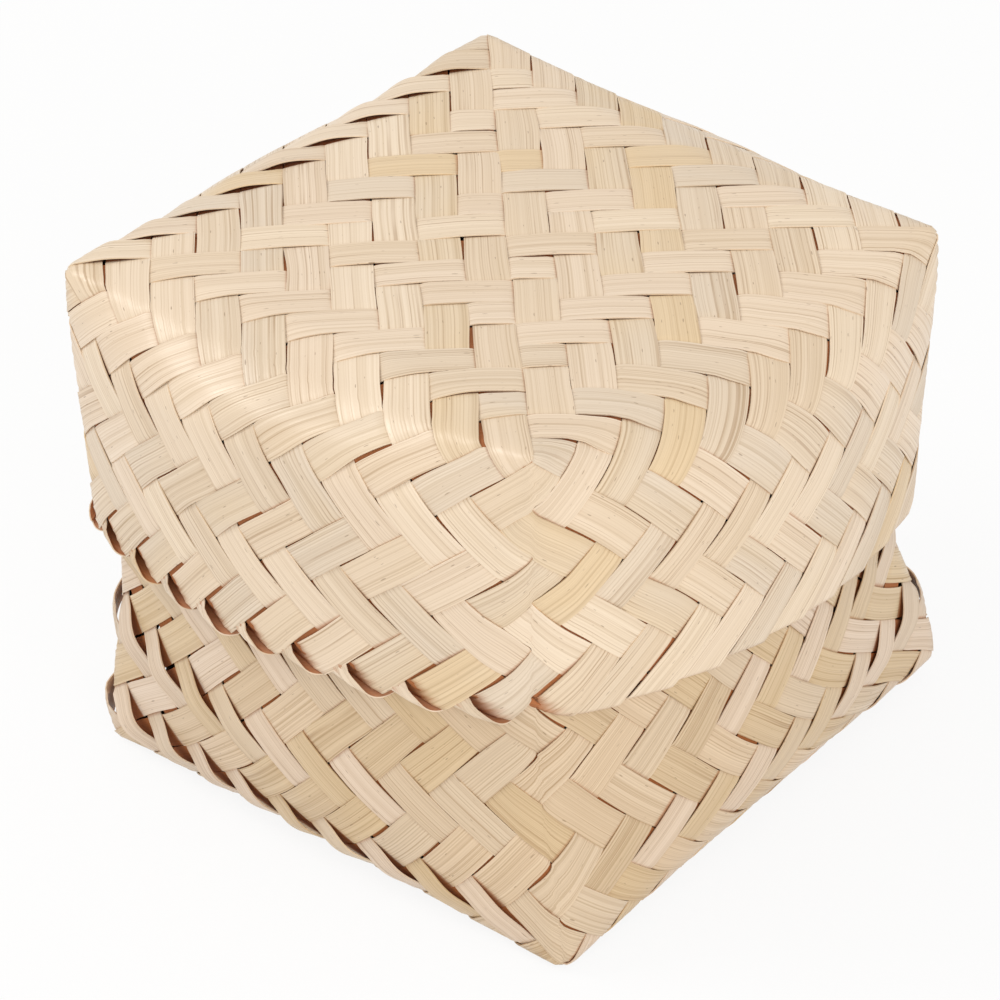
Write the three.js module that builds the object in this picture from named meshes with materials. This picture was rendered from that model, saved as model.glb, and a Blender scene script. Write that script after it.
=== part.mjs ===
// A square box of bamboo strips plaited on the bias: a base and a lid that slides down over it.
// Millimetres, +Z up. The origin is on the floor under the middle of the base, and the walls face X and Y.
// Each band is two neighbouring strips side by side, and the bands pass over and under one another.
import * as THREE from "three";

// Weave
const BAND_PITCH = 15.6; // from one band's middle line to the next one's, in the lid
const BAND_GAP = 1.4; // left open between bands lying side by side
const BAND_THICKNESS = 0.5;
const CROSSING_GAP = 0.3; // between two bands where they cross
const BANDS_TO_EDGE = 5; // bands from the middle of a face to its edge, counted across one corner

// Walls, counted in rings of crossings from the folded edge to the rim
const LID_WALL_RINGS = 5;
const BASE_WALL_RINGS = 9;
const LID_WALL_HEIGHT = 56;
const BASE_WALL_HEIGHT = 91.9;

// How the springy walls swell outward between the corners
const LID_SWELL = 10.8; // at the middle of a wall
const BASE_SWELL = 10.4;
const LID_SHOULDER = 15.5; // from the folded edge to the full swell, measured down the wall
const BASE_SHOULDER = 37;
const LID_LIFT = 1.5; // the height that a wall loses as it goes outward instead
const BASE_LIFT = 3.6;
const LID_EDGE_SAG = 2.4; // of the folded edge's middle, towards the rim
const BASE_EDGE_SAG = 1;
const SAG_REACH = 11; // how far from the folded edge the sag runs out

// The base is wider at its foot than inside the lid
const FOOT_FLARE = 3.8; // on each side
const FLARE_REACH = 42; // height at which the flare ends

// The box is a little out of square: above the foot its front right corner is drawn in to the left
const CORNER_DRAW = 3.4;

// Fit of the lid on the base
const WALL_CLEARANCE = 1.5; // between the lid's walls and the base's walls, at the corners
const SEAT_GAP = 0.25; // between the base's rim and the underside of the lid's shoulder

// Colours
const LID_WARP_COLOUR = 0xe4d1b4;
const LID_WEFT_COLOUR = 0xdfcaaa;
const BASE_WARP_COLOUR = 0xd6bf98;
const BASE_WEFT_COLOUR = 0xcfb78f;
const BAMBOO_ROUGHNESS = 0.55;

// Sizes that follow from the ones above
const HALF = 0.5;
const DIAGONAL = Math.SQRT2;
const WALL_COUNT = 4;
const LAYER_OFFSET = (BAND_THICKNESS + CROSSING_GAP) * HALF; // of a band from the box's middle surface
const HALF_PLAIT = LAYER_OFFSET + BAND_THICKNESS * HALF; // half the thickness of the plaited sheet
const LID_SIDE = BANDS_TO_EDGE * BAND_PITCH * DIAGONAL;
const BASE_SIDE = LID_SIDE - (HALF_PLAIT + HALF_PLAIT + WALL_CLEARANCE) / HALF;
const BASE_FLOOR = HALF_PLAIT;
const BASE_RIM = BASE_FLOOR + BASE_WALL_HEIGHT;
const ON_LINE = 1e-6;
const SLOPE_STEP = 1e-3; // the step over which a surface's slope is taken

// The two plaited shells: `face` is the closed face's height, and `rise` is +1 for walls that go up from it.
const BASE = {
  name: "base",
  side: BASE_SIDE,
  face: BASE_FLOOR,
  rise: 1,
  rings: BASE_WALL_RINGS,
  height: BASE_WALL_HEIGHT,
  swell: BASE_SWELL,
  shoulder: BASE_SHOULDER,
  lift: BASE_LIFT,
  sag: BASE_EDGE_SAG,
  flare: FOOT_FLARE,
};
const LID = {
  name: "lid",
  side: LID_SIDE,
  rise: -1,
  rings: LID_WALL_RINGS,
  height: LID_WALL_HEIGHT,
  swell: LID_SWELL,
  shoulder: LID_SHOULDER,
  lift: LID_LIFT,
  sag: LID_EDGE_SAG,
  flare: 0,
};

// The walls in order round the box: outward normal, then the direction in which the way round grows.
const WALLS = [
  { normal: [0, -1], along: [1, 0] },
  { normal: [1, 0], along: [0, 1] },
  { normal: [0, 1], along: [-1, 0] },
  { normal: [-1, 0], along: [0, -1] },
];

const pitchOf = (shell) => shell.side / (BANDS_TO_EDGE * DIAGONAL);

const ringStep = (shell) => (shell.side * HALF) / BANDS_TO_EDGE;

// How far out of the square, and how far from the closed face, the middle of a wall is at a depth down it.
function wallProfile(shell, depth) {
  const swollen = Math.sin(Math.min(depth / shell.shoulder, 1) * Math.PI * HALF);
  const full = shell.rings * ringStep(shell);
  const below = THREE.MathUtils.smoothstep(depth, shell.shoulder, full);
  const sag = shell.sag * Math.max(0, 1 - depth / SAG_REACH);
  return {
    straight: (depth / full) * shell.height,
    out: shell.swell * swollen,
    bend: sag - shell.lift * swollen * (1 - below),
  };
}

// How much wider than its side a shell is at a distance from its closed face.
function spread(shell, straight) {
  const left = 1 - THREE.MathUtils.smoothstep(straight, 0, FLARE_REACH);
  return 1 + (shell.flare / (shell.side * HALF)) * left;
}

// Moves a point with the drawn-in corner. The other three corners give way a little, so the middle stays.
function drawnIn(shell, point, straight) {
  const near = (value) => HALF + value / shell.side;
  const above = shell.flare ? THREE.MathUtils.smoothstep(straight, 0, FLARE_REACH) : 1;
  point.x -= CORNER_DRAW * (near(point.x) * near(-point.y) - HALF * HALF) * above;
  return point;
}

// A point of one wall: the swell is full at the wall's middle and dies away at its two corners.
function wallSurface(shell, { normal, along }, run, depth) {
  const { straight, out, bend } = wallProfile(shell, depth);
  const half = shell.side * HALF;
  const share = 1 - (run / half) ** 2;
  const reach = half * spread(shell, straight) + out * share;
  const place = run * spread(shell, straight);
  const point = new THREE.Vector3(
    normal[0] * reach + along[0] * place,
    normal[1] * reach + along[1] * place,
    shell.face + shell.rise * (straight + bend * share),
  );
  return drawnIn(shell, point, straight);
}

// A point of the closed face, which sags a little towards the middle of each folded edge.
function faceSurface(shell, x, y) {
  const half = shell.side * HALF;
  const wide = spread(shell, 0);
  const near = (value) => Math.max(0, 1 - (half - Math.abs(value)) / SAG_REACH);
  const lean = near(x) * (1 - (y / half) ** 2) + near(y) * (1 - (x / half) ** 2);
  const point = new THREE.Vector3(x * wide, y * wide, shell.face + shell.rise * shell.sag * lean);
  return drawnIn(shell, point, 0);
}

// The unit normal, on the side of `outward`, of a surface given by two numbers.
function normalOf(surface, a, b, outward) {
  const here = surface(a, b);
  const across = surface(a + SLOPE_STEP, b).sub(here);
  const down = surface(a, b + SLOPE_STEP).sub(here);
  const normal = across.cross(down).normalize();
  return normal.dot(outward) < 0 ? normal.negate() : normal;
}

// A point at a way round the box and a depth from the folded edge, with the normals of the walls it is on.
function wallPoint(shell, way, depth) {
  const turn = WALL_COUNT * shell.side;
  const round = ((way % turn) + turn) % turn;
  const index = Math.min(WALL_COUNT - 1, Math.floor(round / shell.side + ON_LINE));
  const run = round - index * shell.side - shell.side * HALF;
  const sides = [[WALLS[index], run]];
  if (Math.abs(Math.abs(run) - shell.side * HALF) < ON_LINE) {
    sides.push([WALLS[(index + (run > 0 ? 1 : WALL_COUNT - 1)) % WALL_COUNT], -run]);
  }
  const normals = sides.map(([wall, place]) => {
    const surface = (a, b) => wallSurface(shell, wall, a, b);
    return normalOf(surface, place, depth, new THREE.Vector3(wall.normal[0], wall.normal[1], 0));
  });
  return { at: wallSurface(shell, WALLS[index], run, depth), normals };
}

// Folds a point of the flat sheet (x, y) onto the box, over the edge of the given wall.
function foldedPoint(shell, x, y, index) {
  const { normal, along } = WALLS[index];
  const depth = x * normal[0] + y * normal[1] - shell.side * HALF;
  const way = (index + HALF) * shell.side + x * along[0] + y * along[1];
  const surface = (a, b) => faceSurface(shell, a, b);
  const inset = (value) => value * (1 - SLOPE_STEP);
  const faceNormal = () => normalOf(surface, inset(x), inset(y), new THREE.Vector3(0, 0, -shell.rise));
  if (depth < -ON_LINE) return { at: faceSurface(shell, x, y), normals: [faceNormal()] };
  const point = wallPoint(shell, way, Math.max(depth, 0));
  if (depth < ON_LINE) point.normals.push(faceNormal());
  return point;
}

// The lid's top lies where the lid's shoulder comes down on the base's rim, at the middle of the walls.
const RIM_OUT = (BASE_SIDE - LID_SIDE) * HALF + BASE_SWELL + HALF_PLAIT;
const EDGE_PROFILE = wallProfile(LID, 0);
const RING_PROFILE = wallProfile(LID, ringStep(LID));
const SHOULDER_FALL = RING_PROFILE.straight + RING_PROFILE.bend - EDGE_PROFILE.bend;
const SHOULDER_SLOPE = SHOULDER_FALL / RING_PROFILE.out;
const SHOULDER_STRETCH = Math.hypot(1, SHOULDER_SLOPE); // of an upright distance to one square to the slope
const SEAT_RISE = EDGE_PROFILE.bend + RIM_OUT * SHOULDER_SLOPE;
LID.face = BASE_RIM + SEAT_RISE + (HALF_PLAIT + SEAT_GAP) * SHOULDER_STRETCH;

// The walls a band comes down on at its two ends. A warp band runs along (1, -1), a weft band along (1, 1).
function endWalls(isWarp, middle) {
  const [front, right, back, left] = [0, 1, 2, 3];
  if (isWarp) return middle > 0 ? [back, right] : [left, front];
  return middle > 0 ? [front, right] : [left, back];
}

// One band's outline points and triangles on the middle surface. `step` counts crossings along the band.
function bandSheet(shell, isWarp, index) {
  const pitch = pitchOf(shell);
  const reach = (pitch - BAND_GAP) * HALF;
  const middle = (index + HALF) * pitch;
  const walls = endWalls(isWarp, middle);
  const last = BANDS_TO_EDGE + shell.rings - Math.abs(index + HALF);
  const points = [];
  const triangles = [];
  let before = null;

  const add = (along, across, over) => {
    const [u, v] = isWarp ? [middle + across, along] : [along, middle + across];
    const point = foldedPoint(shell, (u + v) / DIAGONAL, (u - v) / DIAGONAL, walls[along < 0 ? 0 : 1]);
    const layer = over ? LAYER_OFFSET : -LAYER_OFFSET;
    return points.push({ ...point, layer }) - 1;
  };
  const join = (a, b) => triangles.push([a[0], a[1], b[0]], [a[1], b[1], b[0]]);

  // A crossing is four triangles about its middle, the same four for both of its bands.
  const joinCrossing = (entry, exit, centre, over) => {
    const heart = add(centre * pitch, 0, over);
    const corners = [entry[0], entry[1], exit[1], exit[0]];
    corners.forEach((corner, i) => triangles.push([corner, corners[(i + 1) % corners.length], heart]));
  };

  // At the rim a crossing is cut along its diagonal: the half that stays is two triangles about its middle.
  const joinRim = ([tip], [left, right], centre, isStart) => {
    const heart = add(centre * pitch, 0, points[tip].layer > 0);
    const inner = middle > 0 ? [left, heart, tip] : [right, tip, heart];
    const faces = [[left, right, heart], inner];
    triangles.push(...faces.map((face) => (isStart ? face.reverse() : face)));
  };

  const both = [-reach, reach];
  const tipOnly = [middle > 0 ? -reach : reach];
  for (let centre = -last; centre <= last; centre += 1) {
    const cell = Math.round(centre - HALF);
    const over = isWarp === (Math.abs(cell - index) % 2 === 1);
    const isStart = centre === -last;
    const isEnd = centre === last;
    const entry = (isStart ? tipOnly : both).map((across) => add(centre * pitch - reach, across, over));
    const exit = (isEnd ? tipOnly : both).map((across) => add(centre * pitch + reach, across, over));
    if (before) join(before, entry);
    if (isStart) joinRim(entry, exit, centre, true);
    else if (isEnd) joinRim(exit, entry, centre, false);
    else joinCrossing(entry, exit, centre, over);
    before = exit;
  }
  return { points, triangles };
}

// The way a point moves so that every face it lies on moves outward by one.
function mitre(normals) {
  const sum = normals.reduce((total, normal) => total.add(normal), new THREE.Vector3());
  const gain = normals.reduce((total, normal) => total + normal.dot(sum), 0) / normals.length;
  return sum.divideScalar(gain);
}

// Gives a sheet its thickness: both faces, and a side face along every edge that only one triangle has.
function thicken({ points, triangles }) {
  const positions = [];
  for (const half of [HALF, -HALF]) {
    for (const { at, normals, layer } of points) {
      const lift = layer + half * BAND_THICKNESS;
      const moved = at.clone().addScaledVector(mitre(normals), lift);
      positions.push(moved.x, moved.y, moved.z);
    }
  }
  const edges = new Set(triangles.flatMap(([a, b, c]) => [`${a},${b}`, `${b},${c}`, `${c},${a}`]));
  const faces = triangles.flatMap(([a, b, c]) => {
    const [d, e, f] = [a, b, c].map((corner) => corner + points.length);
    return [[a, b, c], [f, e, d]];
  });
  for (const edge of edges) {
    const [a, b] = edge.split(",").map(Number);
    if (edges.has(`${b},${a}`)) continue;
    faces.push([b, a, a + points.length], [b, a + points.length, b + points.length]);
  }
  return { positions, faces };
}

// Turns every face over if the solid came out inside out.
function outwardFaces(positions, faces) {
  const corner = (i) => new THREE.Vector3().fromArray(positions, i * 3);
  const volume = faces.reduce((sum, [a, b, c]) => sum + corner(a).dot(corner(b).cross(corner(c))), 0);
  return volume > 0 ? faces : faces.map(([a, b, c]) => [c, b, a]);
}

function bandMesh(shell, isWarp, index, material) {
  const { positions, faces } = thicken(bandSheet(shell, isWarp, index));
  const geometry = new THREE.BufferGeometry();
  geometry.setAttribute("position", new THREE.Float32BufferAttribute(positions, 3));
  geometry.setIndex(outwardFaces(positions, faces).flat());
  geometry.computeVertexNormals();
  const mesh = new THREE.Mesh(geometry, material);
  const number = String(index + BANDS_TO_EDGE + 1).padStart(2, "0");
  mesh.name = `${shell.name}_${isWarp ? "warp" : "weft"}_${number}`;
  return mesh;
}

function bamboo(colour) {
  return new THREE.MeshStandardMaterial({ color: colour, roughness: BAMBOO_ROUGHNESS, metalness: 0 });
}

function shellMeshes(shell, warpColour, weftColour) {
  const meshes = [];
  for (const [isWarp, colour] of [[true, warpColour], [false, weftColour]]) {
    for (let index = -BANDS_TO_EDGE; index < BANDS_TO_EDGE; index += 1) {
      meshes.push(bandMesh(shell, isWarp, index, bamboo(colour)));
    }
  }
  return meshes;
}

const box = new THREE.Group();
box.name = "plaited_box";
box.add(...shellMeshes(BASE, BASE_WARP_COLOUR, BASE_WEFT_COLOUR));
box.add(...shellMeshes(LID, LID_WARP_COLOUR, LID_WEFT_COLOUR));

export default box;
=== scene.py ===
"""A square bamboo box, plaited on the bias, with a deep lid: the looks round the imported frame."""

import math
import random
from collections import namedtuple

import bpy
import numpy as np
from mathutils import Matrix, Vector


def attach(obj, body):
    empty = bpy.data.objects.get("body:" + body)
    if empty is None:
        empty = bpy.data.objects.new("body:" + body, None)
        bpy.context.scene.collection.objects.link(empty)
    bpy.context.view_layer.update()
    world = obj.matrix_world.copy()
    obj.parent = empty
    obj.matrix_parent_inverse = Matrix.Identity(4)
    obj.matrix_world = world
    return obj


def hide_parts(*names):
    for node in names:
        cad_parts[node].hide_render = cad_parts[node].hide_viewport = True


MM = 0.001
CM = 0.1  # a millimetre in centimetres
SEED = 20
ROOT2 = math.sqrt(2)
FULL_TURN = 2 * math.pi

# Lengths are in millimetres. A pitch goes from one strip's middle line to the next one's, and two strips
# stand for one band of the CAD model.
STRIPS_TO_EDGE = 10  # from the middle of a face to its edge, counted across one corner
THICKNESS = 0.28
LAYER = 0.23  # from the plait's middle surface to that of a strip that lies over or under
TURN_OVER = 0.36  # length of a change between over and under, in pitches

# Least and greatest width of the warp and of the weft strips, in pitches
WIDTHS = {"lid": ((0.955, 0.99), (0.955, 0.99)), "base": ((0.955, 0.985), (0.89, 0.945))}

# A strip's irregularities. Waves and bulges are given as how many, their heights and their lengths.
SIDE_SHIFT = 0.15
WAVES = (3, (0.04, 0.16), (20, 60))  # of the middle line
BULGES = (2, (0.006, 0.02), (14, 40))  # of the width, as a share of it
BOW_OUT = (0.05, 0.25)  # of a stretch that lies over two others
BOW_IN = (0, 0.05)  # of one that lies under two others

# Spots where strips stand off: shell, whether warp strips do, wall, run, depth, reaches of both, and how far
LOOSE = [
    ("base", False, 0, -50, 34, 45, 40, 1.5),
    ("base", False, 0, -10, 8, 70, 14, 1.1),
    ("base", False, 1, 50, 25, 35, 40, 0.8),
    ("lid", False, 3, 0, 0, 75, 9, 0.8),
]
NARROWING = 0.08  # of such a strip, for each millimetre that it stands off

# The walls' swell, and how they sink with it. Distances are measured from the closed face.
SWELL = {"lid": 10.8, "base": 10.4}
SHOULDER = {"lid": 15.5, "base": 37}  # to the full swell
LIFT = {"lid": -1.5, "base": -3.6}
LIFT_REACH = {"lid": 10, "base": 30}
LIFT_FADES = {"lid": (14, 28), "base": (36, 86)}

# Edges: their rounding, and the sag of the folded ones
EDGE_ROUND = 1.8
SAG = {"lid": 2.4, "base": 1.9}
SAG_REACH = 11

# Radius of each upright edge near the closed face and away from it. The edges come in the order A, B, C, D:
# the left, back, right and front one of the photograph.
BLUNT = {"lid": [(2, 3), (2, 3), (2, 4), (2, 11)], "base": [(2, 5), (2, 5), (2, 5), (3, 6)]}
BLUNT_DEPTHS = (8, 38)  # between which the radius changes

# Below the shoulder the lid's walls have slid round the box, towards its left corner. The slide starts, is
# full, fades and ends at these ways round, which are counted in walls from that corner.
SLIP = -4.3
SLIP_WAYS = (-0.4, 0.12, 0.52, 1.02)
SLIP_DEPTHS = (12, 34)

# The base is wider at its foot
FOOT_FLARE, FLARE_REACH = 3.8, 42

# How the handmade box is out of square: shifts of its corners at the closed face and at the rim
CORNERS = {
    "lid": (
        [(0.5, -1.0, 0.5), (1.5, 2.8, 1.4), (1.5, -1.3, -2.3), (-2.5, 0.8, 1.0)],
        [(0.7, 1.3, 0.3), (0.8, -0.6, 0.2), (-0.4, -4.8, -4.4), (-4.0, 0.3, 1.8)],
    ),
    "base": (
        [(1.7, 1.6, 0.0), (0.0, 0.0, 0.0), (-1.3, 3.0, 2.9), (1.9, 0.1, 0.0)],
        [(0.7, 0.9, 0.0), (0.4, -0.2, 0.0), (-0.8, -3.4, 0.0), (-2.4, 0.2, 0.0)],
    ),
}
FOOT_QUICKNESS = 2.2  # the base's shifts have changed over at its height divided by this
PAST_RIM = 1.05  # share of the lid's height up to which its shifts grow

# The rims. The strips are folded inward over them, and on some walls the folds stand open as loops.
LOOP = (1.0, 0.25, 0.6, 0.9)  # how far they do on the front, right, back and left wall
CLOSED = 0.5  # under this the folds lie flat, and the strips beneath come out over the others
TUCKED = 2.2  # how much higher the rim is where its loops are closed
LOOP_SWELL, LOOP_RISES = (0.85, 1.2), (0.03, 0.33)  # of strips that make loops, and between which pitches
LOOP_DIP, LOOP_DIPS = 0.55, (-0.28, 0.08)  # of strips that go into the loops, and between which pitches
LOOP_SLANT = 0.4  # more of both at the side that gets to the rim late
LOOP_FILL, LOOP_FILL_OVER = 0.9, 2.4  # shift of the others towards the rim, and over how many pitches
LAST_CROSSING = 0.6  # how far before the rim a strip's state there is read, in pitches
RIM_TAIL = 17.0  # length of the folded-in end
ROW_TILT = {"lid": 2.2, "base": 0.8}  # how much lower a mesh row lies at the late side of a strip at the rim
LEVEL_FROM, LEVEL_OVER = 15, 9  # where the rows turn level, measured from the rim
LEAST_RADIUS, FIRST_RADIUS = 0.25, 0.8  # of a fold
SETTLE_FROM, SETTLE_OVER = 2.5, 6  # where a folded-in end goes over to its final level, past the fold

# Mesh rows: how many to a pitch, and how close they are near the rims
ROWS_PER_PITCH = 9
CLOSE_ROWS_FROM, CLOSE_ROW = 13, 0.55
SHARP_EDGE = math.radians(28)  # edges that turn by more are shaded sharp

# Round the strip's section: place across it, from -1 to 1, and height, from -1 to 1
PROFILE = [(-1, 0.7), (-0.985, 1), (-0.5, 1), (0, 1), (0.5, 1), (0.985, 1), (1, 0.7)]
PROFILE += [(1, -0.7), (0.985, -1), (0, -1), (-0.985, -1), (-1, -0.7)]

# Depth of the colour, from 0 to 1: the inner side's own deeper colour, and painted shade
BENEATH_SHADE_FROM, BENEATH_SHADE_OVER = 0.025, 0.09  # where painted shade deepens the colour as a strip goes beneath others, in pitches
MOUTH_SHADE, MOUTH_SHADE_SLANT = 0.36, 0.15  # over how many pitches painted shade deepens the colour into a loop, and how much more at its top
LINING = 0.12  # on the shells' inner side
LOOP_LINING_SHADE_FROM, LOOP_LINING_SHADE_OVER = 9, 5  # above the lid's rim, where painted shade takes the inner side over to the full depth
LIP_SHADE_EASING, LIP_SHADE_FROM = 0.2, 0.4  # less painted shade towards the lower end of a loop
FOLD_SHADE, FOLD_SHADE_OVER = 0.3, 1.3  # painted shade on the outside of a closed fold, and over how much of its turn

# The photograph's camera. The image is square, as the camera sees it.
CAMERA_AZIMUTH, CAMERA_ELEVATION, CAMERA_ROLL = (math.radians(t) for t in (41.4, 32.9, -1.8))
CAMERA_TARGET = (-0.8, -2.3, 48.0)
CAMERA_DISTANCE = 800.8
CAMERA_LENS, CAMERA_SENSOR = 157.0, 36


def smooth(t):
    t = np.clip(t, 0, 1)
    return t * t * (3 - 2 * t)


def between(value, start, end):
    """0 up to the start, 1 from the end, and a smooth change between them."""
    return smooth((value - start) / (end - start))


def swollen(t):
    return np.sin(np.clip(t, 0, 1) * math.pi / 2)


class Shell:
    """One plaited shell: its plain box, and the size of its weave."""

    def __init__(self, name, side, face, rise, rings, height):
        self.name, self.side, self.face, self.rise = name, side, face, rise
        self.rings, self.height = rings, height
        self.half = side / 2
        self.pitch = side / (STRIPS_TO_EDGE * ROOT2)
        self.depth = rings * self.pitch / ROOT2


LID = Shell("lid", side=110.31, face=102.4, rise=-1, rings=11.3, height=56.5)
BASE = Shell("base", side=104.71, face=0.65, rise=1, rings=18, height=91.3)

WALL_NORMALS = np.array([(0, -1), (1, 0), (0, 1), (-1, 0)], float)
WALL_ALONG = np.array([(1, 0), (0, 1), (-1, 0), (0, -1)], float)
WALLS = 4
FRONT, RIGHT, BACK, LEFT = range(WALLS)


def slip(shell, way, depth):
    """How far a wall has slid round the box, at a way round it and a depth from the closed face."""
    if shell is BASE:
        return 0
    walls_on = np.mod(way + 2 * shell.side, WALLS * shell.side) / shell.side - 2
    start, full, fades, end = SLIP_WAYS
    near = between(walls_on, start, full) * between(walls_on, end, fades)
    return SLIP * near * between(depth, *SLIP_DEPTHS)


def box_point(shell, wall, run, depth):
    """Points of the plain box: on the closed face where the depth is under nothing, else on the walls."""
    way = (wall + 0.5) * shell.side + run
    way = np.mod(way + slip(shell, way, depth), WALLS * shell.side)
    index = np.minimum(WALLS - 1, (way / shell.side).astype(int))
    place = way - (index + 0.5) * shell.side
    on_wall = WALL_NORMALS[index] * shell.half + WALL_ALONG[index] * place[..., None]
    on_face = WALL_NORMALS[wall] * (shell.half + depth)[..., None] + WALL_ALONG[wall] * run[..., None]
    flat = np.where((depth > 0)[..., None], on_wall, on_face)
    z = shell.face + shell.rise * np.maximum(depth, 0) * shell.height / shell.depth
    return np.concatenate([flat, z[..., None]], -1)


def rounded(shell, p):
    """Rounds the plain box's edges a little."""
    inner = shell.half - EDGE_ROUND
    core = np.empty_like(p)
    core[..., :2] = np.clip(p[..., :2], -inner, inner)
    limit = shell.face + shell.rise * EDGE_ROUND
    core[..., 2] = np.maximum(p[..., 2], limit) if shell.rise > 0 else np.minimum(p[..., 2], limit)
    out = p - core
    out /= np.maximum(np.linalg.norm(out, axis=-1, keepdims=True), 1e-9)
    return core + out * EDGE_ROUND


def corner_weights(shell, p):
    """How near a point is to each upright edge, in the order A, B, C, D."""
    x, y = np.clip(p[..., 0] / shell.half, -1, 1), np.clip(p[..., 1] / shell.half, -1, 1)
    return [(1 - x) * (1 - y) / 4, (1 - x) * (1 + y) / 4, (1 + x) * (1 + y) / 4, (1 + x) * (1 - y) / 4]


def blunted(shell, p):
    """Rounds the upright edges as far as each of them is rounded at its height."""
    away = between(np.abs(p[..., 2] - shell.face), *BLUNT_DEPTHS)
    radius = EDGE_ROUND
    for weight, (first, full) in zip(corner_weights(shell, p), BLUNT[shell.name]):
        radius = radius + weight ** 2 * ((first - EDGE_ROUND) * (1 - away) + (full - EDGE_ROUND) * away)
    inner = (shell.half - radius)[..., None]
    core = np.clip(p[..., :2], -inner, inner)
    out = p[..., :2] - core
    length = np.linalg.norm(out, axis=-1, keepdims=True)
    scale = np.max(np.abs(out), axis=-1, keepdims=True) / np.maximum(length, 1e-9)
    q = p.copy()
    q[..., :2] = core + out * np.where(length > 1e-6, scale, 1)
    return q


def wall_profile(shell, depth):
    """Swell outward and shift upright at the middle of a wall, at a distance from the closed face."""
    name = shell.name
    out = SWELL[name] * swollen(depth / SHOULDER[name])
    bend = LIFT[name] * swollen(depth / LIFT_REACH[name]) * (1 - between(depth, *LIFT_FADES[name]))
    return out, bend


def pillowed(shell, p):
    """Swells the walls outward between the corners, and lets the folded edges sag."""
    depth = np.abs(p[..., 2] - shell.face)
    x, y = p[..., 0] / shell.half, p[..., 1] / shell.half
    share_x, share_y = np.clip(1 - y * y, 0, 1), np.clip(1 - x * x, 0, 1)
    out, bend = wall_profile(shell, depth)
    q = p.copy()
    q[..., 0] += x * share_x * out
    q[..., 1] += y * share_y * out
    edge = np.maximum(np.abs(x) ** 4 * share_x, np.abs(y) ** 4 * share_y)
    near_edge = smooth(1 - (1 - np.maximum(np.abs(x), np.abs(y))) * shell.half / SAG_REACH)
    sag = SAG[shell.name] * near_edge * smooth(1 - depth / SAG_REACH) * np.maximum(share_x, share_y)
    q[..., 2] += shell.rise * (bend * edge + sag)
    return q


def bent(shell, p, q):
    """Moves the corners of the true box to where the handmade box has them, and flares the foot."""
    height = np.abs(p[..., 2] - shell.face) / shell.height
    if shell is BASE:
        flare = FOOT_FLARE / shell.half * (1 - smooth(height * shell.height / FLARE_REACH))
        q[..., :2] += p[..., :2] * flare[..., None]
        share = smooth(height * FOOT_QUICKNESS)[..., None]
    else:
        share = np.clip(height, 0, PAST_RIM)[..., None]
    for weight, at_face, at_rim in zip(corner_weights(shell, p), *CORNERS[shell.name]):
        q = q + weight[..., None] * (np.array(at_face) * (1 - share) + np.array(at_rim) * share)
    return q


def surface(shell, wall, run, depth):
    """Points of the shell's middle surface."""
    p = rounded(shell, box_point(shell, wall, run, depth))
    return bent(shell, p, pillowed(shell, blunted(shell, p)))


def surface_and_normal(shell, wall, run, depth):
    step = 0.35
    right = surface(shell, wall, run + step, depth) - surface(shell, wall, run - step, depth)
    down = surface(shell, wall, run, depth + step) - surface(shell, wall, run, depth - step)
    normal = np.cross(right, down) * shell.rise
    normal /= np.maximum(np.linalg.norm(normal, axis=-1, keepdims=True), 1e-9)
    return surface(shell, wall, run, depth), normal


def ring_of(cell, index):
    return max(abs(cell + index + 1), abs(cell - index))


def is_over(is_warp, cell, index):
    """Whether the strip lies on the outside where it meets crossing strip number cell."""
    along, across = (index, cell) if is_warp else (cell, index)
    side_walls = abs(along + across + 1) > abs(along - across)
    weft_over = side_walls == (ring_of(cell, index) % 4 in (1, 2))
    return weft_over != is_warp


def end_walls(is_warp, index):
    if is_warp:
        return (BACK, RIGHT) if index >= 0 else (LEFT, FRONT)
    return (FRONT, RIGHT) if index >= 0 else (LEFT, BACK)


def draw_ripples(rng, count, heights, lengths):
    return [(rng.uniform(*heights), rng.uniform(*lengths), rng.uniform(0, FULL_TURN)) for _ in range(count)]


def ripple(ripples, s):
    return sum(height * np.sin(FULL_TURN * s / length + phase) for height, length, phase in ripples)


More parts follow.
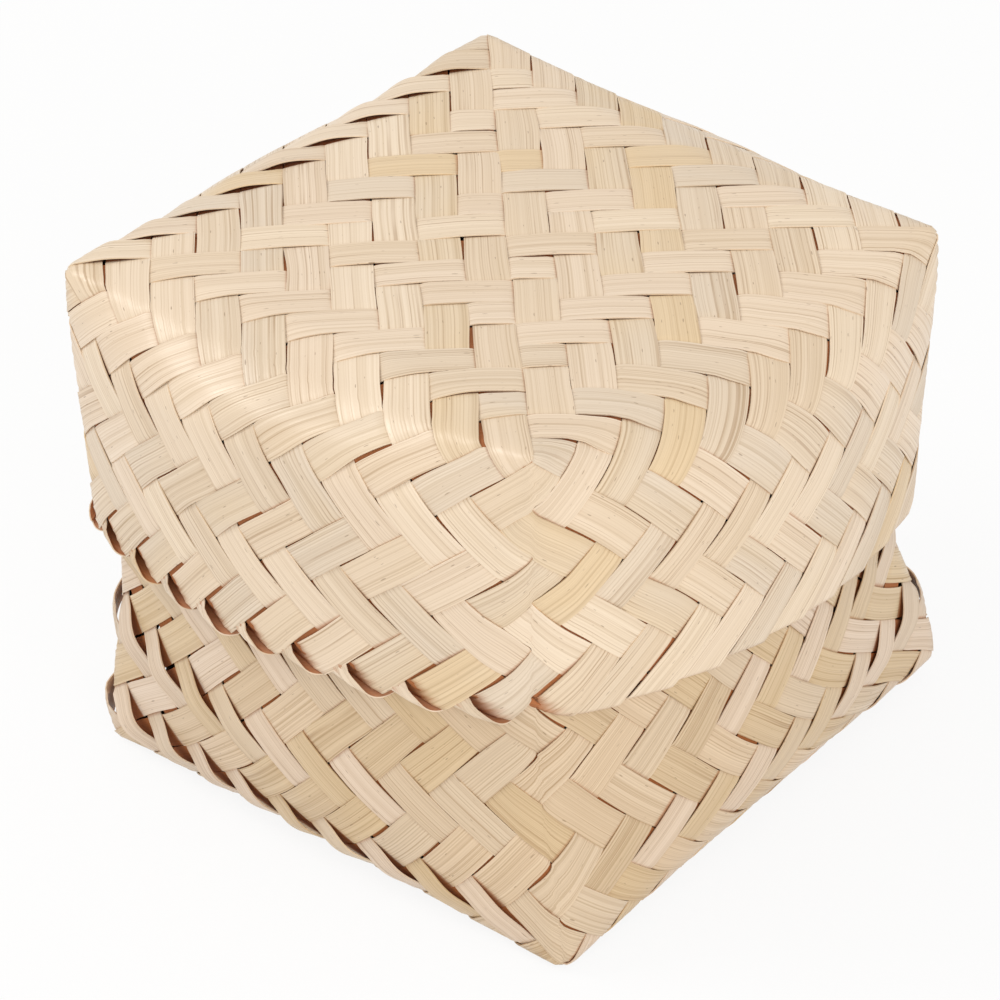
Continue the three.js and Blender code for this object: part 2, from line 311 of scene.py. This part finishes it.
class Strip:
    """One strip's own irregularities, and its path from rim to rim."""

    def __init__(self, shell, is_warp, index):
        self.shell, self.is_warp, self.index = shell, is_warp, index
        self.rng = rng = random.Random(f"{SEED} {shell.name} {is_warp} {index}")
        self.width = shell.pitch * rng.uniform(*WIDTHS[shell.name][0 if is_warp else 1])
        self.shift = rng.uniform(-SIDE_SHIFT, SIDE_SHIFT)
        self.waves = draw_ripples(rng, *WAVES)
        self.bulges = draw_ripples(rng, *BULGES)
        self.middle = (index + 0.5) * shell.pitch
        self.walls = end_walls(is_warp, index)
        self.last = STRIPS_TO_EDGE + shell.rings - abs(index + 0.5)
        first = math.floor(-self.last - 0.5) - 2
        self.cells = np.arange(first, -first)
        self.state = np.array([1 if is_over(is_warp, c, index) else -1 for c in self.cells])

    def place(self, along, across, wall):
        """Run and depth on a wall of the point that lies along and across, from the closed face's middle."""
        u, v = (across, along) if self.is_warp else (along, across)
        x, y = (u + v) / ROOT2, (u - v) / ROOT2
        run = x * WALL_ALONG[wall][0] + y * WALL_ALONG[wall][1]
        depth = x * WALL_NORMALS[wall][0] + y * WALL_NORMALS[wall][1] - self.shell.half
        return run, depth

    def across(self, s):
        """Middle line's sideways shift and the half width, along the strip."""
        width = 1 + ripple(self.bulges, s) - NARROWING * self.looseness(s / self.shell.pitch)
        return self.shift + ripple(self.waves, s), self.width * width / 2

    def cell_before(self, place):
        """Number, counted from the first one, of the crossing whose middle comes last before each place."""
        return np.clip(np.floor(place - 0.5).astype(int) - self.cells[0], 0, len(self.cells) - 2)

    def height(self, s):
        """How far the strip's middle stands out from the box's middle surface."""
        place = s / self.shell.pitch
        low = self.cell_before(place)
        t = smooth((place - 1 - (low + self.cells[0])) / TURN_OVER + 0.5)
        height = LAYER * (self.state[low] * (1 - t) + self.state[low + 1] * t)
        for start, over in self.floats():
            if over > 0:
                bow = self.rng.uniform(*BOW_OUT) + self.looseness(start + 1)
            else:
                bow = -self.rng.uniform(*BOW_IN)
            x = (place - start) / 2
            height = height + np.where((x > 0) & (x < 1), bow * np.sin(math.pi * np.clip(x, 0, 1)) ** 2, 0)
        return height

    def looseness(self, place):
        """How far a float stands off for the loose spots that it is near."""
        along = place * self.shell.pitch
        total = np.zeros(np.shape(along))
        for name, is_warp, wall, at_run, at_depth, reach_run, reach_depth, rise in LOOSE:
            if (name, is_warp) != (self.shell.name, self.is_warp) or wall not in self.walls:
                continue
            run, depth = self.place(along, self.middle, wall)
            off = ((run - at_run) / reach_run) ** 2 + ((depth - at_depth) / reach_depth) ** 2
            here = (along >= 0) == (wall == self.walls[1])
            total = total + rise * np.maximum(0, 1 - off) * here
        return total

    def beneath_shade(self, s):
        """1 where the strip is beneath others and gets painted shade, 0 where it lies open."""
        place = s / self.shell.pitch
        low = self.cell_before(place)
        ahead = place - (low + self.cells[0]) - 1
        here, following = self.state[low], self.state[low + 1]
        inward = np.where(here < following, -ahead, ahead)
        return np.where(here == following, here < 0, smooth((inward - BENEATH_SHADE_FROM) / BENEATH_SHADE_OVER))

    def floats(self):
        """Start, in pitches, and state of each run of crossings that are all over or all under."""
        runs, i = [], 0
        while i < len(self.cells):
            j = i
            while j + 1 < len(self.cells) and self.state[j + 1] == self.state[i]:
                j += 1
            runs.append((self.cells[j] - 1, self.state[i]))
            i = j + 1
        return runs

    def rim_state(self, end):
        """State at one rim, and the place along the strip where that last run of crossings begins."""
        step = 1 if end else -1
        i = int(np.argmin(np.abs(self.cells + 0.5 - step * (self.last - LAST_CROSSING))))
        j = i
        while self.state[j - step] == self.state[i]:
            j -= step
        return self.state[i], abs(self.cells[j] + 0.5 - step * 0.5) * self.shell.pitch

    def rim_wall(self, end):
        """The wall on which the strip meets the rim. It may leave the closed face by the wall before."""
        along = (self.last if end else -self.last) * self.shell.pitch
        run, _ = self.place(along, self.middle, self.walls[end])
        return math.floor(self.walls[end] + 0.5 + run / self.shell.side) % WALLS


# How strips of one kind turn in over a rim. The fold lies `up` short of the shell's full depth, but deeper by
# `tilt` at the side of the strip that gets there late, and it varies from strip to strip. `inside` is the
# level of the folded-in end next to the fold, and `final` further in.
Fold = namedtuple("Fold", "up tilt varies inside final")


def fold_of(shell, state, open_loop):
    if shell is BASE:
        inside, final = (-1.35, -1.0) if state > 0 else (-0.95, -0.8)
        return Fold(up=0.8, tilt=0.8, varies=0.3, inside=inside, final=final)
    if open_loop < CLOSED:
        if state > 0:
            return Fold(up=5.6, tilt=0.6, varies=0.3, inside=-1.2, final=-1.1)
        return Fold(up=2.0, tilt=-0.6, varies=0.3, inside=-1.3, final=-0.8)
    tucked = TUCKED * (1 - open_loop)
    if state > 0:
        return Fold(up=3.2 + tucked, tilt=0.8 + open_loop, varies=0.3, inside=-0.9 - open_loop, final=-1.1)
    tilt, inside = -0.5 - 0.6 * open_loop, -0.8 - 0.8 * open_loop
    return Fold(up=3.1 + tucked / 2, tilt=tilt, varies=0.2, inside=inside, final=-0.8)


def rim_swell(strip, state, gone, late, open_loop):
    """How far a strip stands out near the rim besides its weave, so many pitches past its last change."""
    if strip.shell is BASE:
        return 0.0
    if open_loop < CLOSED:
        # One kind of strip wraps round the rim here, and the other turns in before it would come out
        return -2 * state * LAYER * smooth((gone + TURN_OVER / 2) / TURN_OVER)
    if state > 0:
        swell = strip.rng.uniform(*LOOP_SWELL) * (1 - LOOP_SLANT + LOOP_SLANT * late)
        return open_loop * swell * between(gone, *LOOP_RISES)
    return -open_loop * (LOOP_DIP + LOOP_SLANT * late) * between(gone, *LOOP_DIPS)


def rim_fold(strip, end, s, depth, late, open_loop):
    """Folds one end in over the rim: the new depth, the offset from the middle surface and the turn."""
    state, begin = strip.rim_state(end)
    fold = fold_of(strip.shell, state, open_loop)
    gone = (np.abs(s) - begin) / strip.shell.pitch
    swell = rim_swell(strip, state, gone, late, open_loop)
    rim = strip.shell.depth - fold.up + fold.tilt * late[0] + strip.rng.uniform(-fold.varies, fold.varies)
    height = strip.height(s) + swell
    radius = np.full(depth.shape[1], FIRST_RADIUS)
    order = np.argsort(depth, axis=0)
    for _ in range(3):
        start = rim - radius
        at_fold = np.array([
            np.interp(start[k], depth[order[:, k], k], height[order[:, k], k]) for k in range(len(start))
        ])
        radius = np.maximum((at_fold - fold.inside) / 2, LEAST_RADIUS)
    turn = np.clip((depth - start) / radius, 0, math.pi)
    past = np.maximum(depth - start - math.pi * radius, 0)
    is_past = depth > start
    folded = np.where(is_past, start + radius * np.sin(turn) - past, depth)
    offset = np.where(is_past, at_fold - radius * (1 - np.cos(turn)), height)
    offset = offset + smooth((past - SETTLE_FROM) / SETTLE_OVER) * (fold.final - fold.inside)
    return folded, offset, turn


def lining_and_painted_shade(strip, end, along, depth, late, turn):
    """How deep the colour is on the outer and on the inner side of a strip, from 0 to 1, painted shade
    included.
    """
    shell, open_loop = strip.shell, LOOP[strip.rim_wall(end)]
    state, begin = strip.rim_state(end)
    gone = (np.abs(along) - begin) / shell.pitch
    outer = strip.beneath_shade(along)
    # Closed folds: painted shade on the strip that turns in beneath, and along the other one's fold
    if shell is LID and open_loop < CLOSED:
        outer = np.where(gone > -0.5, FOLD_SHADE * smooth(turn / FOLD_SHADE_OVER) if state < 0 else 1, outer)
    elif state > 0:
        outer = np.where(gone > 0, 0, outer)
    elif shell is LID:
        # Painted shade deepens a strip's end where it goes into a loop
        slant = 1 - MOUTH_SHADE_SLANT + MOUTH_SHADE_SLANT * late
        outer = np.maximum(outer, open_loop * slant * smooth(gone / MOUTH_SHADE + slant))
    if shell is BASE:
        return outer, np.full(outer.shape, LINING)
    # Near the lid's rim the inner side gets painted shade, deepest inside the loops
    inner = LINING + (1 - LINING) * smooth((depth - shell.depth + LOOP_LINING_SHADE_FROM) / LOOP_LINING_SHADE_OVER)
    # Less painted shade towards a loop's lower end, where it opens
    if state > 0:
        inner = inner * (1 - LIP_SHADE_EASING * smooth(gone - LIP_SHADE_FROM))
    return outer, inner


def samples(strip):
    """Places along the strip, closer together where it is folded over at the rims."""
    end = strip.last * strip.shell.pitch
    close = end - CLOSE_ROWS_FROM
    body = np.arange(-close, close, strip.shell.pitch / ROWS_PER_PITCH)
    near = np.arange(close, end + RIM_TAIL, CLOSE_ROW)
    return np.concatenate([-near[::-1], body, near])


def end_points(strip, end, s):
    """Points of the strip's skin at one end of it, and how deep its colour is there, painted shade included.
    """
    shell, wall = strip.shell, strip.walls[end]
    e = np.array([p[0] for p in PROFILE])
    skin = np.array([p[1] for p in PROFILE]) * THICKNESS / 2
    normal = WALL_NORMALS[wall]
    deeper = np.sign(normal[0] + normal[1] if strip.is_warp else normal[0] - normal[1])
    state, begin = strip.rim_state(end)
    open_loop = LOOP[strip.rim_wall(end)]
    shift, half = strip.across(s)
    aside, wide, far = shift[:, None], half[:, None], np.abs(s)[:, None]
    late = np.broadcast_to(-e * deeper, (len(far), len(e)))
    if shell is LID and state < 0:
        near = smooth(((far - begin) / shell.pitch + LOOP_FILL_OVER) / LOOP_FILL_OVER)
        aside = aside + deeper * LOOP_FILL * near * open_loop
    # Near the rim the rows lie level instead of square to the strip
    tilt = 0 if shell is LID and state < 0 else ROW_TILT[shell.name]
    level = smooth((far - strip.last * shell.pitch + LEVEL_FROM) / LEVEL_OVER)
    far = far + level * late * (wide + tilt * ROOT2)
    along = far if end else -far
    run, depth = strip.place(along, strip.middle + aside + wide * e, wall)
    folded, offset, turn = rim_fold(strip, end, along, depth, late, open_loop)
    at, outward = surface_and_normal(shell, wall, run, folded + skin * np.sin(turn))
    points = at + outward * (offset + skin * np.cos(turn))[..., None]
    outer, inner = lining_and_painted_shade(strip, end, along, depth, late, turn)
    return points, np.where(skin < -0.9 * THICKNESS / 2, inner, outer)


def strip_points(strip):
    """Every point of the strip's skin, one ring of profile points at each place along it."""
    s = samples(strip)
    points = np.empty((len(s), len(PROFILE), 3))
    lining_and_shade = np.zeros((len(s), len(PROFILE)))
    for end, rows in enumerate((s < 0, s >= 0)):
        points[rows], lining_and_shade[rows] = end_points(strip, end, s[rows])
    return s, points, lining_and_shade


def strip_faces(count, ring):
    """Quads between neighbouring rings, and a cap at each end."""
    faces = []
    for i in range(count - 1):
        a, b = i * ring, (i + 1) * ring
        faces += [(a + k, a + (k + 1) % ring, b + (k + 1) % ring, b + k) for k in range(ring)]
    faces.append(tuple(range(ring))[::-1])
    faces.append(tuple((count - 1) * ring + k for k in range(ring)))
    return faces


def strip_uv(strip, s):
    """The map runs in centimetres: along the strip, then round its section, far from any other strip's."""
    start = strip.rng.uniform(0, 100)
    u = s[:, None] * CM + start
    v = np.array([e * strip.width / 2 for e, _ in PROFILE])[None, :] * CM + strip.rng.uniform(0, 100)
    return np.stack(np.broadcast_arrays(u, v), -1).reshape(-1, 2)


def band_mesh(name, shell, is_warp, band):
    """The two strips that stand for one band of the CAD model, as one mesh."""
    points, faces, uvs, tones, linings_and_shades = [], [], [], [], []
    total, ring = 0, len(PROFILE)
    for index in (2 * band, 2 * band + 1):
        strip = Strip(shell, is_warp, index)
        s, skin_points, lining_and_shade = strip_points(strip)
        for face in strip_faces(len(s), ring):
            face = tuple(total + k for k in face)
            faces.append(face[::-1] if is_warp != (shell is BASE) else face)
        total += len(s) * ring
        points.append(skin_points.reshape(-1, 3) * MM)
        linings_and_shades.append(lining_and_shade.reshape(-1))
        uvs.append(strip_uv(strip, s))
        tone, lines = strip.rng.random(), strip.rng.random()
        tones.append(np.tile([tone, lines, 0, 1], (len(s) * ring, 1)))
    mesh = bpy.data.meshes.new(name)
    mesh.from_pydata(np.concatenate(points).tolist(), [], faces)
    corners = np.zeros(len(mesh.loops), np.int32)
    mesh.loops.foreach_get("vertex_index", corners)
    layer = mesh.uv_layers.new(name="Along")
    layer.data.foreach_set("uv", np.concatenate(uvs)[corners].astype(np.float32).ravel())
    tone = mesh.attributes.new("tone", "FLOAT_COLOR", "POINT")
    tone.data.foreach_set("color", np.concatenate(tones).astype(np.float32).ravel())
    # The inner side's deeper colour and the painted shade, as a share from 0 to 1
    inside = mesh.attributes.new("inside", "FLOAT", "POINT")
    inside.data.foreach_set("value", np.concatenate(linings_and_shades).astype(np.float32))
    return mesh


def band_object(name, shell, is_warp, band, material):
    mesh = band_mesh(name, shell, is_warp, band)
    mesh.materials.append(material)
    mesh.update()
    mesh.shade_smooth()
    mesh.set_sharp_from_angle(angle=SHARP_EDGE)
    obj = bpy.data.objects.new(mesh.name, mesh)
    bpy.context.scene.collection.objects.link(obj)
    return obj


class Nodes:
    """Short hand for building a node tree."""

    def __init__(self, tree):
        self.tree = tree

    def new(self, kind, **settings):
        node = self.tree.nodes.new(kind)
        for key, value in settings.items():
            setattr(node, key, value)
        return node

    def link(self, a, b):
        self.tree.links.new(a, b)

    def set(self, socket, value):
        """Puts a plain value on the socket, or links it to another node's output."""
        if isinstance(value, (int, float, tuple)):
            socket.default_value = value
        else:
            self.link(value, socket)

    def math(self, operation, a, b, clamp=False):
        node = self.new("ShaderNodeMath", operation=operation, use_clamp=clamp)
        self.set(node.inputs[0], a)
        self.set(node.inputs[1], b)
        return node.outputs[0]

    def mix(self, factor, a, b, blend="MIX"):
        node = self.new("ShaderNodeMix", data_type="RGBA", blend_type=blend)
        for place, value in ((0, factor), (6, a), (7, b)):
            self.set(node.inputs[place], value)
        return node.outputs[2]

    def noise(self, vector, stretch, detail=1.0, roughness=0.5):
        """Noise that is stretched along and across the strips."""
        mapping = self.new("ShaderNodeMapping")
        self.link(vector, mapping.inputs["Vector"])
        mapping.inputs["Scale"].default_value = (*stretch, 1)
        node = self.new("ShaderNodeTexNoise")
        self.link(mapping.outputs["Vector"], node.inputs["Vector"])
        node.inputs["Scale"].default_value = 1.0
        node.inputs["Detail"].default_value = detail
        node.inputs["Roughness"].default_value = roughness
        return node.outputs["Fac"]

    def over(self, a, b):
        """0 where a is under b, and 1 soon after it is over b."""
        return self.math("MULTIPLY", self.math("SUBTRACT", a, b), 25.0, clamp=True)

    def ramp(self, factor, *stops):
        node = self.new("ShaderNodeValToRGB")
        self.link(factor, node.inputs["Fac"])
        elements = node.color_ramp.elements
        while len(elements) < len(stops):
            elements.new(0.5)
        for element, (place, colour) in zip(elements, stops):
            element.position = place
            element.color = colour if isinstance(colour, tuple) else (colour, colour, colour, 1)
        return node.outputs["Color"]


def srgb(r, g, b):
    """A colour given as 0 to 255 on a screen, as the linear values that a shader takes."""
    def linear(c):
        c /= 255
        return c / 12.92 if c <= 0.04045 else ((c + 0.055) / 1.055) ** 2.4

    return (linear(r), linear(g), linear(b), 1.0)


# The bamboo's pattern: how often it changes along and across a strip, in each centimetre
DRIFT, BROAD, FINE = (0.3, 0.8), (0.05, 5.0), (0.04, 34.0)
LINES, BREAKS, FLECKS = (0.05, 26.0), (0.5, 1.5), (5.0, 26.0)

# Its colours as 0 to 255 on a screen, and how strongly some of them show, from 0 to 1
TONES = {
    "lid": [(238, 219, 194), (235, 215, 192), (230, 209, 182), (226, 209, 188), (228, 203, 166)],
    "base_warp": [(218, 197, 170), (222, 198, 168), (212, 188, 156), (215, 189, 150)],
    "base_weft": [(230, 210, 190), (224, 202, 178), (218, 198, 174), (216, 190, 150)],
}
DRIFT_SHARE = 0.35  # of the tones, along one strip
LINE_COLOUR, LINE_SHARE = (158, 120, 76), 0.45
FLECK_COLOUR, FLECK_SHARE = (120, 86, 52), 0.5
# The deep colour is the inner side's own colour, and painted shade where strips go beneath others and into
# loops
LINING_AND_SHADE_COLOUR, LINING_AND_SHADE_SHARE = (172, 94, 30), 0.9
LINE_LEVEL, LINE_LEVEL_SPREAD, FLECK_LEVEL = 0.30, 0.1, 0.79  # of the noise, at which they begin


def bamboo_colour(n, uv, tones, fibre, fine, broad):
    """The strip's own tone, its fibres, thin dark lines and short flecks."""
    tone = n.new("ShaderNodeSeparateColor")
    n.link(n.new("ShaderNodeAttribute", attribute_name="tone").outputs["Color"], tone.inputs["Color"])
    strip_tone, strip_lines = tone.outputs[0], tone.outputs[1]
    drift = n.math("MULTIPLY", n.math("SUBTRACT", n.noise(uv, DRIFT), 0.5), DRIFT_SHARE)
    place = n.math("ADD", strip_tone, drift, clamp=True)
    colour = n.ramp(place, *((i / (len(tones) - 1), srgb(*c)) for i, c in enumerate(tones)))
    colour = n.mix(1.0, colour, n.ramp(broad, (0.3, (0.92, 0.90, 0.87, 1)), (0.6, 1)), "MULTIPLY")
    light = (1.05, 1.055, 1.06, 1)
    fibres = n.ramp(fine, (0.3, (0.78, 0.73, 0.65, 1)), (0.5, (0.98, 0.97, 0.955, 1)), (0.65, light))
    colour = n.mix(fibre, colour, fibres, "MULTIPLY")

    level = n.math("ADD", n.math("MULTIPLY", strip_lines, LINE_LEVEL_SPREAD), LINE_LEVEL)
    breaks = n.ramp(n.noise(uv, BREAKS), (0.35, 0.15), (0.6, 1))
    line = n.math("MULTIPLY", n.over(level, n.noise(uv, LINES, detail=0.0)), breaks)
    colour = n.mix(n.math("MULTIPLY", line, LINE_SHARE), colour, srgb(*LINE_COLOUR))
    fleck = n.over(n.noise(uv, FLECKS, detail=0.0), FLECK_LEVEL)
    return n.mix(n.math("MULTIPLY", fleck, FLECK_SHARE), colour, srgb(*FLECK_COLOUR))


def bamboo(name, tones, fibre):
    """Split bamboo, deeper in colour and dull on its inner side. Painted shade deepens and dulls it where it
    goes beneath others.
    """
    material = bpy.data.materials.new(name)
    material.use_nodes = True
    n = Nodes(material.node_tree)
    shader = material.node_tree.nodes["Principled BSDF"]
    uv = n.new("ShaderNodeUVMap", uv_map="Along").outputs["UV"]
    # The inner side's deeper colour and the painted shade, as a share from 0 to 1
    inside = n.new("ShaderNodeAttribute", attribute_name="inside").outputs["Fac"]
    broad, fine = n.noise(uv, BROAD), n.noise(uv, FINE, roughness=0.6)
    colour = bamboo_colour(n, uv, tones, fibre, fine, broad)
    # Mixes in the deep colour: the inner side's own, and painted shade beneath strips and in the loops
    colour = n.mix(n.math("MULTIPLY", inside, LINING_AND_SHADE_SHARE), colour, srgb(*LINING_AND_SHADE_COLOUR))
    n.link(colour, shader.inputs["Base Color"])
    gloss = n.ramp(fine, (0.3, 0.55), (0.65, 0.30))
    n.link(n.mix(inside, gloss, (0.9, 0.9, 0.9, 1)), shader.inputs["Roughness"])
    shader.inputs["Specular IOR Level"].default_value = 0.5
    bump = n.new("ShaderNodeBump")
    bump.inputs["Strength"].default_value = 0.4
    bump.inputs["Distance"].default_value = 0.15 * MM
    relief = n.math("ADD", n.math("MULTIPLY", fine, 0.7), n.math("MULTIPLY", broad, 1.2))
    n.link(relief, bump.inputs["Height"])
    n.link(bump.outputs["Normal"], shader.inputs["Normal"])
    return material


def make_materials():
    return {
        "lid_warp": bamboo("lid_warp", TONES["lid"], fibre=0.7),
        "lid_weft": bamboo("lid_weft", TONES["lid"], fibre=0.7),
        "base_warp": bamboo("base_warp", TONES["base_warp"], fibre=1.0),
        "base_weft": bamboo("base_weft", TONES["base_weft"], fibre=0.7),
    }


def make_box(materials):
    bands_to_edge = STRIPS_TO_EDGE // 2
    for shell in (BASE, LID):
        for is_warp in (True, False):
            kind = f"{shell.name}_{'warp' if is_warp else 'weft'}"
            for band in range(-bands_to_edge, bands_to_edge):
                node = f"{kind}_{band + bands_to_edge + 1:02d}"
                obj = band_object(f"{node}_strips", shell, is_warp, band, materials[kind])
                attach(obj, shell.name)
                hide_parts(node)


def make_floor():
    """A pale floor. The camera sees it mostly as plain white, and a little of its shading stays."""
    reach, grey, white_share = 6.0, 0.88, 0.88
    mesh = bpy.data.meshes.new("floor")
    corners = [(-reach, -reach, 0), (reach, -reach, 0), (reach, reach, 0), (-reach, reach, 0)]
    mesh.from_pydata(corners, [], [(0, 1, 2, 3)])
    floor = bpy.data.objects.new("floor", mesh)
    bpy.context.scene.collection.objects.link(floor)
    material = bpy.data.materials.new("floor")
    material.use_nodes = True
    shader = material.node_tree.nodes["Principled BSDF"]
    shader.inputs["Base Color"].default_value = (grey, grey, grey, 1)
    shader.inputs["Roughness"].default_value = 0.9
    shader.inputs["Specular IOR Level"].default_value = 0.1
    n = Nodes(material.node_tree)
    path = n.new("ShaderNodeLightPath")
    white = n.new("ShaderNodeEmission")
    seen = n.math("MAXIMUM", path.outputs["Is Camera Ray"], path.outputs["Is Glossy Ray"])
    seen = n.math("MAXIMUM", seen, path.outputs["Is Transmission Ray"])
    mix = n.new("ShaderNodeMixShader")
    n.link(n.math("MULTIPLY", seen, white_share), mix.inputs["Fac"])
    n.link(shader.outputs["BSDF"], mix.inputs[1])
    n.link(white.outputs["Emission"], mix.inputs[2])
    n.link(mix.outputs["Shader"], material.node_tree.nodes["Material Output"].inputs["Surface"])
    mesh.materials.append(material)


def area_light(name, place, target, size, power, colour):
    data = bpy.data.lights.new(name, "AREA")
    data.shape = "SQUARE"
    data.size = size
    data.energy = power
    data.color = colour
    light = bpy.data.objects.new(name, data)
    light.location = place
    light.rotation_mode = "QUATERNION"
    light.rotation_quaternion = (Vector(target) - Vector(place)).to_track_quat("-Z", "Y")
    bpy.context.scene.collection.objects.link(light)


def make_light():
    world = bpy.data.worlds.new("studio")
    world.use_nodes = True
    background = world.node_tree.nodes["Background"]
    background.inputs["Color"].default_value = (1.0, 0.99, 0.97, 1)
    background.inputs["Strength"].default_value = 0.77
    bpy.context.scene.world = world
    warm = (1, 0.97, 0.93)
    area_light("key", (-0.55, -0.35, 0.75), (0, 0, 0.06), size=0.35, power=2.4, colour=warm)
    area_light("fill", (0.75, -0.4, 0.45), (0, 0, 0.05), size=0.6, power=2.7, colour=warm)


def make_camera():
    level = math.cos(CAMERA_ELEVATION)
    x, y = math.sin(CAMERA_AZIMUTH) * level, -math.cos(CAMERA_AZIMUTH) * level
    back = Vector((x, y, math.sin(CAMERA_ELEVATION)))
    data = bpy.data.cameras.new("camera")
    data.sensor_width = CAMERA_SENSOR
    data.lens = CAMERA_LENS
    data.clip_start, data.clip_end = 0.01, 50
    camera = bpy.data.objects.new("camera", data)
    camera.location = (Vector(CAMERA_TARGET) + back * CAMERA_DISTANCE) * MM
    turn = (-back).to_track_quat("-Z", "Y").to_matrix() @ Matrix.Rotation(CAMERA_ROLL, 3, "Z")
    camera.rotation_mode = "QUATERNION"
    camera.rotation_quaternion = turn.to_quaternion()
    bpy.context.scene.collection.objects.link(camera)
    bpy.context.scene.camera = camera


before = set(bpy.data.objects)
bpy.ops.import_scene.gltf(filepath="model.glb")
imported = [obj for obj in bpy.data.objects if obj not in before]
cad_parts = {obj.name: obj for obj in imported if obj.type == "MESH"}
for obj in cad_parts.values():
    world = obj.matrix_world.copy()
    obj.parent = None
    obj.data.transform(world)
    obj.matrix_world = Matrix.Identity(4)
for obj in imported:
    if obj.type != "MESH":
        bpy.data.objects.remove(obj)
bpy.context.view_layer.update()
make_box(make_materials())
make_floor()
make_light()
make_camera()
bpy.context.scene.view_settings.view_transform = "Standard"
